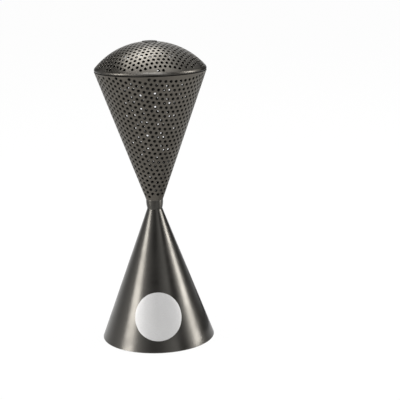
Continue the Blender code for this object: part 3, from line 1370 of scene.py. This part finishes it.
    def trued(self, points: np.ndarray) -> np.ndarray:
        """Make the rolled sheet true to the cone, with the weld raised along the back.

        Args:
            points: Points of the sheet.

        Returns:
            Their places.
        """
        across = drawn_to(points[:, 0], 0.0, CLOSE)
        out = (points[:, 2] - self.apex) * math.tan(self.angle)
        swell = np.maximum(1.0 - (across / self.weld_half_width) ** 2, 0.0)
        out = out + np.where(points[:, 1] > 0.0, self.weld_height * swell, 0.0)
        along = np.sqrt(np.maximum(out**2 - across**2, 0.0))
        return np.stack((across, np.copysign(along, points[:, 1]), points[:, 2]), axis=1)

    def lightened(self, points: np.ndarray) -> np.ndarray:
        """How far points are rubbed, by their distance from the weld."""
        off_weld = points[:, 0] / (self.weld_rub_widths * self.weld_half_width)
        return np.where(points[:, 1] > 0.0, self.weld_rub - off_weld**2, 0.0)

    def masks(self) -> dict[str, Rule]:
        """Rub along the weld."""
        return {WEAR_AND_HIGHLIGHT: self.lightened}


@dataclass
class Cap(SubAssembly):
    """The perforated dome that closes the head, satin outside; its darker inside finish is painted
    shade.
    """

    solid = "dome_cap"
    slot = Slot.CAP
    crease = 32.0
    head: Head
    finishes: tuple[Finish, ...] = (
        # The dome's light second colour serves rubbed wear and the painted highlight at the front
        # of the shoulder
        NickelPlate(
            "dome_dark_nickel", (0.116, 0.109, 0.098), (0.50, 0.48, 0.45),
            roughness=0.31, line_tone=0.06,
        ),
        # Darker copy of the plating: painted shade inside the dome
        NickelPlate(
            "dome_inside_shade_nickel", (0.030, 0.029, 0.027), (0.20, 0.19, 0.18), roughness=0.55
        ),
    )
    sheet: PerforatedSheet = PerforatedSheet(pitch=3.35 * MM, lean=math.radians(11.0))
    dome: float = 47.5 * MM
    shoulder: float = 2.2 * MM
    seam_gap: float = 0.3 * MM
    skirt: float = 0.8 * MM
    curl: float = 0.9 * MM
    curl_end: float = math.radians(165.0)
    thickness: float = 0.7 * MM
    fill_hole: float = 6.0 * MM
    plain_centre: float = 11.0 * MM
    middle_pitches: float = 1.2
    ring_pitches: float = 2.0
    edge_web: float = 0.4 * MM
    chamfer: float = 0.09 * MM
    sliver: float = 0.2 * MM
    spare_cells: int = 2
    steepest: float = 0.98
    shoulder_steps: int = 9
    curl_steps: int = 5
    # Painted shade on the dome's edge starts this far above its top and deepens downwards over its
    # reach
    shade_rise: float = 0.45 * MM
    seam_shade_reach: float = 2.3 * MM
    # Lightening of the shoulder: a little all round for wear, gathered at the front as a painted
    # highlight
    wear_and_highlight_rise: float = 0.4 * MM
    rub_reach: float = 1.8 * MM
    rub_behind: float = 0.1
    highlight_focus: int = 12
    shoulder_height: float = field(init=False)
    edge_angle: float = field(init=False)
    centre: float = field(init=False)

    def __post_init__(self) -> None:
        """Work out the dome from the head's rim."""
        self.shoulder_height = self.head.high + self.seam_gap + self.skirt
        reach = self.head.rim - self.shoulder
        self.edge_angle = math.asin(reach / (self.dome - self.shoulder))
        self.centre = self.shoulder_height - reach / math.tan(self.edge_angle)

    def surface(self, radius: float) -> float:
        """Height of the dome's outer face at a distance from the axis."""
        return self.centre + math.sqrt(self.dome**2 - radius**2)

    def edge_profile(self) -> list[Point]:
        """Outer face from the edge of the dome, round the shoulder and under to the tuck.

        Returns:
            Points of (radius, height).
        """
        head, side = self.head, math.pi / 2
        middle = (head.rim - self.shoulder, self.shoulder_height)
        shoulder = on_arc(middle, self.shoulder, self.edge_angle, side, self.shoulder_steps)
        middle = (head.rim - self.curl, self.shoulder_height)
        curl = on_arc(middle, self.curl, side, self.curl_end, self.curl_steps)
        wall = (head.thickness + self.seam_gap) / math.cos(head.angle)
        tuck_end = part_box("dome_cap")[0].z
        tuck = [
            (head.outer(head.high) - wall, head.high + self.seam_gap / 2),
            (head.outer(tuck_end) - wall, tuck_end),
        ]
        return [*shoulder, *curl[1:], *tuck]

    def pressed(self, points: np.ndarray) -> np.ndarray:
        """Press the flat sheet to the dome, areas kept.

        Args:
            points: Points of the sheet, its middle at the origin.

        Returns:
            Their places.
        """
        reach = np.hypot(points[:, 0], points[:, 1])
        turned = np.arctan2(points[:, 1], points[:, 0])
        tilt = 2.0 * np.arcsin(np.clip(reach / (2.0 * self.dome), 0.0, self.steepest))
        tilt = drawn_to(tilt, self.edge_angle, self.sliver / self.dome)
        out = self.dome * np.sin(tilt)
        height = self.centre + self.dome * np.cos(tilt)
        return np.stack((out * np.cos(turned), out * np.sin(turned), height), axis=1)

    def build(self) -> Piece:
        """Press the dome from perforated sheet and draw its edge round and under.

        Returns:
            The piece.
        """
        sheet = self.sheet
        edge_reach = 2.0 * self.dome * math.sin(self.edge_angle / 2)
        half_columns = math.ceil(edge_reach / sheet.pitch) + self.spare_cells
        half_rows = 2 * math.ceil(edge_reach / sheet.row / 2) + self.spare_cells
        corner = (-half_columns * sheet.pitch, -half_rows * sheet.row)
        piece = sheet.lay("perforated_dome", 2 * half_columns + 1, half_rows + 1, corner)
        trim(piece, lambda spot: spot.xy.length <= edge_reach + sheet.spare)
        self.open_fill_hole(piece)
        nearest = self.plain_centre / 2 + sheet.hole / 2
        furthest = edge_reach - self.edge_web - sheet.hole / 2
        sheet.punch(piece, lambda spot: nearest <= spot.xy.length <= furthest)
        reshape(piece, self.pressed)
        edit(piece)
        edge = self.edge_profile()
        cut((0.0, 0.0, edge[0][1]), UP, Side.BELOW)
        reshape(piece, self.trued)
        edit(piece)
        select_rim(piece, lambda spot: spot.z < edge[0][1] + TINY)
        for start, end in zip(edge, edge[1:]):
            draw_ring(start, end)
        leave_edit_mode()
        thicken(piece, self.thickness)
        sheet.break_edges(piece, self.on_dome, self.chamfer, OUTSIDE)
        return piece

    def on_dome(self, point: Vector) -> bool:
        """Whether a point lies on the outer face of the dome."""
        return abs((point - Vector((0.0, 0.0, self.centre))).length - self.dome) < ON_FACE

    def open_fill_hole(self, piece: Piece) -> None:
        """Take out the middle cells and close round to the fill hole.

        Args:
            piece: The flat sheet, in edit mode.
        """
        pitch = self.sheet.pitch
        doomed: set[int] = set()
        for face in bmesh.from_edit_mesh(piece.data).faces:
            near = face.calc_center_median().xy.length < self.middle_pitches * pitch
            if near and len(face.verts) == self.sheet.sides:
                doomed.add(face.index)
                doomed.update(other.index for side in face.edges for other in side.link_faces)
        select(piece, Element.FACES, lambda face: face.index in doomed)
        bpy.ops.mesh.delete(type="FACE")
        select_rim(piece, lambda spot: spot.xy.length < self.ring_pitches * pitch)
        bpy.ops.mesh.extrude_edges_move(TRANSFORM_OT_translate={"value": ORIGIN})
        bpy.ops.transform.tosphere(value=1.0)
        shape = bmesh.from_edit_mesh(piece.data)
        ring = [vert.co.xy.length for vert in shape.verts if vert.select]
        share = self.fill_hole / 2 / (sum(ring) / len(ring))
        bpy.ops.transform.resize(value=(share, share, 1.0), center_override=ORIGIN)

    def trued(self, points: np.ndarray) -> np.ndarray:
        """Bring the points of the dome's cut edge onto one circle.

        Args:
            points: Points of the dome.

        Returns:
            Their places.
        """
        radius, height = self.edge_profile()[0]
        made = points.copy()
        low = points[:, 2] < height + CLOSE
        spans = np.hypot(points[low, 0], points[low, 1])
        made[low, 0] *= radius / spans
        made[low, 1] *= radius / spans
        made[low, 2] = height
        return made

    def lightened(self, points: np.ndarray) -> np.ndarray:
        """Find how far points are lightened along the shoulder: a little all round as wear, most at
        the front as a painted highlight.

        Args:
            points: Points of the dome.

        Returns:
            The shares.
        """
        out = np.hypot(points[:, 0], points[:, 1])
        # Gathered towards the front, -Y, as a painted highlight; the share behind is wear
        ahead = np.maximum(-points[:, 1] / out, 0.0) ** self.highlight_focus
        front = self.rub_behind + (1.0 - self.rub_behind) * ahead
        above = np.clip((points[:, 2] - self.shoulder_height) / self.wear_and_highlight_rise, 0.0, 1.0)
        return front * above * (1.0 - (self.head.rim - out) / self.rub_reach)

    def masks(self) -> dict[str, Rule]:
        """Rub along the shoulder, most at the front as a painted highlight, and painted shade low
        on the edge.
        """
        onset = self.edge_profile()[0][1] + self.shade_rise
        return {WEAR_AND_HIGHLIGHT: self.lightened, SEAM_SHADE: lambda points: (onset - points[:, 2]) / self.seam_shade_reach}


@dataclass
class Plug(SubAssembly):
    """The rubber plug in the fill hole."""

    solid = "fill_plug"
    slot = Slot.PLUG
    body = Body.PLUG
    cap: Cap
    finishes: tuple[Finish, ...] = (PlugRubber(),)
    head_radius: float = 5.0 * MM
    head_gap: float = 0.02 * MM
    stem: float = 2.7 * MM
    stem_length: float = 1.2 * MM
    seat_rise: float = 0.05 * MM
    tip: float = 1.8 * MM
    tip_edge: float = 0.3 * MM
    lip: float = 0.14 * MM
    lip_end: float = math.radians(20.0)
    crown: float = 0.42 * MM
    lip_steps: int = 6
    crown_steps: int = 8
    segments: int = 64

    def build(self) -> Piece:
        """Turn the plug: a tapered stem and a low crowned head with a round lip.

        Returns:
            The piece.
        """
        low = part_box("fill_plug")[0].z
        top = self.cap.surface(0.0) + self.crown
        seat = self.cap.surface(self.cap.fill_hole / 2)
        lip_height = self.cap.surface(self.head_radius) + self.lip + self.head_gap
        lip_middle = (self.head_radius - self.lip, lip_height)
        round_lip = on_arc(lip_middle, self.lip, math.pi, self.lip_end, self.lip_steps)
        lip_out, lip_top = round_lip[-1]
        crown = []
        for step in range(1, self.crown_steps):
            tilt = math.pi / 2 * step / self.crown_steps
            crown.append((lip_out * math.cos(tilt), lip_top + (top - lip_top) * math.sin(tilt)))
        profile = [
            (0.0, low),
            (self.tip - self.tip_edge, low),
            (self.tip, low + self.tip_edge),
            (self.stem, seat - self.stem_length),
            (self.stem, seat),
            (self.cap.fill_hole / 2, seat + self.seat_rise),
            *round_lip,
            *crown,
            (0.0, top),
        ]
        return turn("rubber_plug", profile, self.segments)


@dataclass
class BallCharge:
    """The loose steel balls in the head."""

    finish: BallSteel = BallSteel()
    cuts: int = 7

    def build(self) -> dict[str, Piece]:
        """Round one ball from a cube, and copy it to every ball's place.

        Returns:
            The balls, by the names of their solids.
        """
        nodes = sorted(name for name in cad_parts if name.startswith("ball_"))
        low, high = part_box(nodes[0])
        radius = (high.z - low.z) / 2
        leave_edit_mode()
        bpy.ops.mesh.primitive_cube_add(size=2 * radius)
        pattern = take_new("steel_ball")
        bpy.ops.mesh.subdivide(number_cuts=self.cuts)
        leave_edit_mode()
        apply_modifier(
            pattern, "CAST", cast_type="SPHERE", factor=1.0, use_radius_as_size=False, size=radius
        )
        smooth(pattern, angle=180.0)
        balls = {}
        for node in nodes:
            low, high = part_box(node)
            ball = pattern.copy()
            ball.data = pattern.data.copy()
            ball.name = ball.data.name = f"steel_{node}"
            ball.data.transform(Matrix.Translation((low + high) / 2))
            bpy.context.scene.collection.objects.link(ball)
            balls[node] = ball
        bpy.data.objects.remove(pattern)
        return balls

    def dress(self, balls: dict[str, Piece], effects: Effects) -> None:
        """Give every ball the same steel, on its own body.

        Args:
            balls: The balls, by the names of their solids.
            effects: The shared node groups.
        """
        steel = self.finish.material(effects)
        for node, ball in balls.items():
            settle(ball, node, [node], [steel])


# Studio


def heading(yaw: float, pitch: float) -> Vector:
    """Direction that is turned to the right from +Y and then tipped down."""
    level = math.cos(pitch)
    return Vector((math.sin(yaw) * level, math.cos(yaw) * level, -math.sin(pitch)))


@dataclass(frozen=True)
class Stand:
    """A flat thing that hangs round the shaker and faces a point.

    It hangs so many degrees to the right of the front, degrees above the horizon and metres away.
    """

    name: str
    turn: float
    lift: float
    distance: float
    width: float
    height: float
    aim: tuple[float, float, float] = field(default=(0.0, 0.0, 0.1), kw_only=True)

    def hung(self) -> tuple[Vector, Euler]:
        """Work out where it hangs.

        Returns:
            The place of its middle, and its rotation.
        """
        back = -heading(-math.radians(self.turn), math.radians(self.lift))
        place = Vector(self.aim) + back * self.distance
        return place, (-back).to_track_quat("-Z", "Y").to_euler()


@dataclass(frozen=True)
class Softbox(Stand):
    """A rectangular lamp."""

    radiance: float
    tint: Colour = (1.0, 0.985, 0.955)

    def build(self) -> None:
        """Hang the lamp."""
        data = bpy.data.lights.new(self.name, "AREA")
        data.shape = "RECTANGLE"
        data.size = self.width
        data.size_y = self.height
        data.energy = self.radiance * math.pi * self.width * self.height
        data.color = self.tint
        lamp = bpy.data.objects.new(self.name, data)
        lamp.location, lamp.rotation_euler = self.hung()
        bpy.context.scene.collection.objects.link(lamp)


@dataclass(frozen=True)
class Card(Stand):
    """A grey card that shows only in the metal, of one tone in the middle and one at its sides."""

    tone: float
    side_tone: float
    fade: Span = (0.05, 0.5)

    def build(self) -> None:
        """Hang the card."""
        leave_edit_mode()
        location, rotation = self.hung()
        bpy.ops.mesh.primitive_plane_add(size=1.0, location=location, rotation=rotation)
        card = bpy.context.active_object
        card.name = self.name
        card.scale = (self.width, self.height, 1.0)
        material, graph = start_material(self.name)
        across = graph.add("ShaderNodeSeparateXYZ", {"Vector": graph.place()}).outputs["X"]
        tone = graph.ease(graph.calc("ABSOLUTE", across), *self.fade, self.tone, self.side_tone)
        graph.show(graph.add("ShaderNodeEmission", {"Color": WHITE, "Strength": tone}))
        card.data.materials.append(material)
        card.visible_camera = False
        card.visible_diffuse = False
        card.visible_shadow = False


@dataclass
class Studio:
    """Pale floor, soft light and the camera."""

    floor_size: float = 24.0
    floor_drop: float = 0.05 * MM
    floor_paint: tuple[float, ...] = (0.86, 0.86, 0.86, 1.0)
    floor_glow: float = 0.97
    fill: float = 0.40
    # Turn, lift, distance, width, height and radiance
    lamps: tuple[Softbox, ...] = (
        Softbox("left_softbox", -68.0, 20.0, 1.3, 0.50, 0.95, 10.5),
        Softbox("right_softbox", 90.0, 18.0, 1.3, 0.48, 0.95, 12.5),
        Softbox("top_softbox", -150.0, 65.0, 1.2, 1.08, 0.44, 5.8),
        Softbox("overhead_softbox", 160.0, 84.0, 1.2, 0.80, 0.55, 2.4),
    )
    # Turn, lift, distance, width, height, and the tones of the middle and of the sides
    cards: tuple[Card, ...] = (
        Card("front_card", -8.0, 25.0, 1.0, 1.5, 0.76, 0.02, 0.80),
        Card("left_card", -118.0, 14.0, 0.7, 0.65, 0.5, 0.40, 0.80),
        Card("right_card", 128.0, 12.0, 0.6, 0.74, 0.52, 0.0, 0.15),
        Card("back_left_card", -148.0, 27.0, 0.7, 0.50, 0.6, 0.0, 0.55),
        Card("back_right_card", 152.0, 27.0, 0.7, 0.45, 0.6, 0.60, 0.90),
        Card("upper_left_card", -96.0, 46.0, 0.7, 0.70, 0.44, 0.0, 0.1),
        Card("upper_right_card", 104.0, 42.0, 0.7, 0.50, 0.40, 0.0, 0.3),
        Card("right_front_card", 54.0, 20.0, 0.9, 0.40, 1.0, 0.0, 0.3),
        Card("floor_card", -2.0, -89.0, 0.098, 0.26, 0.60, 0.15, 0.90, aim=(0.0, -0.36, 0.1)),
        Card("right_floor_card", 0.0, -89.0, 0.098, 0.08, 0.40, 0.0, 0.0, aim=(0.085, 0.16, 0.1)),
    )
    camera_height: float = 0.26572
    camera_distance: float = 0.73803
    camera_yaw: float = 0.040715
    camera_pitch: float = 0.230405
    camera_roll: float = -0.023136
    camera_clip: float = 0.01
    focal_pixels: float = 1144.83
    image_pixels: float = 400.0
    sensor: float = 36.0

    def build(self) -> None:
        """Set up the floor, the world, the lamps, the cards and the camera."""
        bpy.context.scene.view_settings.view_transform = "Standard"
        self.lay_floor()
        self.light_world()
        for stand in (*self.lamps, *self.cards):
            stand.build()
        self.set_camera()

    def lay_floor(self) -> None:
        """Lay the pale floor, which keeps a soft shadow."""
        leave_edit_mode()
        place = (0.0, 0.0, -self.floor_drop)
        bpy.ops.mesh.primitive_plane_add(size=self.floor_size, location=place)
        floor = bpy.context.active_object
        floor.name = "floor"
        material, graph = start_material("pale_floor")
        paint = graph.add("ShaderNodeBsdfDiffuse", {"Color": self.floor_paint})
        glow = graph.add("ShaderNodeEmission", {"Color": WHITE, "Strength": 1.0})
        share = graph.calc("MULTIPLY", graph.background_rays(), self.floor_glow)
        graph.show(graph.either(share, paint, glow))
        floor.data.materials.append(material)

    def light_world(self) -> None:
        """Fill the room with even light, white where it shows."""
        world = bpy.data.worlds.new("studio_room")
        bpy.context.scene.world = world
        world.use_nodes = True
        graph = Graph(world.node_tree)
        fill, white = (
            graph.add("ShaderNodeBackground", {"Color": WHITE, "Strength": strength})
            for strength in (self.fill, 1.0)
        )
        room = graph.either(graph.background_rays(), fill, white)
        graph.show(room, "ShaderNodeOutputWorld")

    def set_camera(self) -> None:
        """Stand the camera where the picture was taken from."""
        data = bpy.data.cameras.new("camera")
        data.sensor_width = self.sensor
        data.lens = self.focal_pixels / self.image_pixels * self.sensor
        data.clip_start = self.camera_clip
        camera = bpy.data.objects.new("camera", data)
        yaw = self.camera_yaw
        ahead = heading(yaw, self.camera_pitch)
        right = Vector((math.cos(yaw), -math.sin(yaw), 0.0))
        up = right.cross(ahead)
        level = Matrix((right, up, -ahead)).transposed()
        turned = level @ Matrix.Rotation(self.camera_roll, 3, "Z")
        place = Matrix.Translation((0.0, -self.camera_distance, self.camera_height))
        camera.matrix_world = place @ turned.to_4x4()
        bpy.context.scene.collection.objects.link(camera)
        bpy.context.scene.camera = camera


def main() -> None:
    """Build the studio, then each sub-assembly of the shaker."""
    logging.basicConfig(level=logging.INFO, format="%(message)s")
    Studio().build()
    effects = Effects(make_turned_lines(), make_handling_marks(), make_worn_and_lit_edges())
    bell = Bell()
    head = Head()
    cap = Cap(head)
    for part in (bell, Badge(bell), Neck(), head, cap, Plug(cap), BallCharge()):
        part.dress(part.build(), effects)


if __name__ == "__main__":
    main()
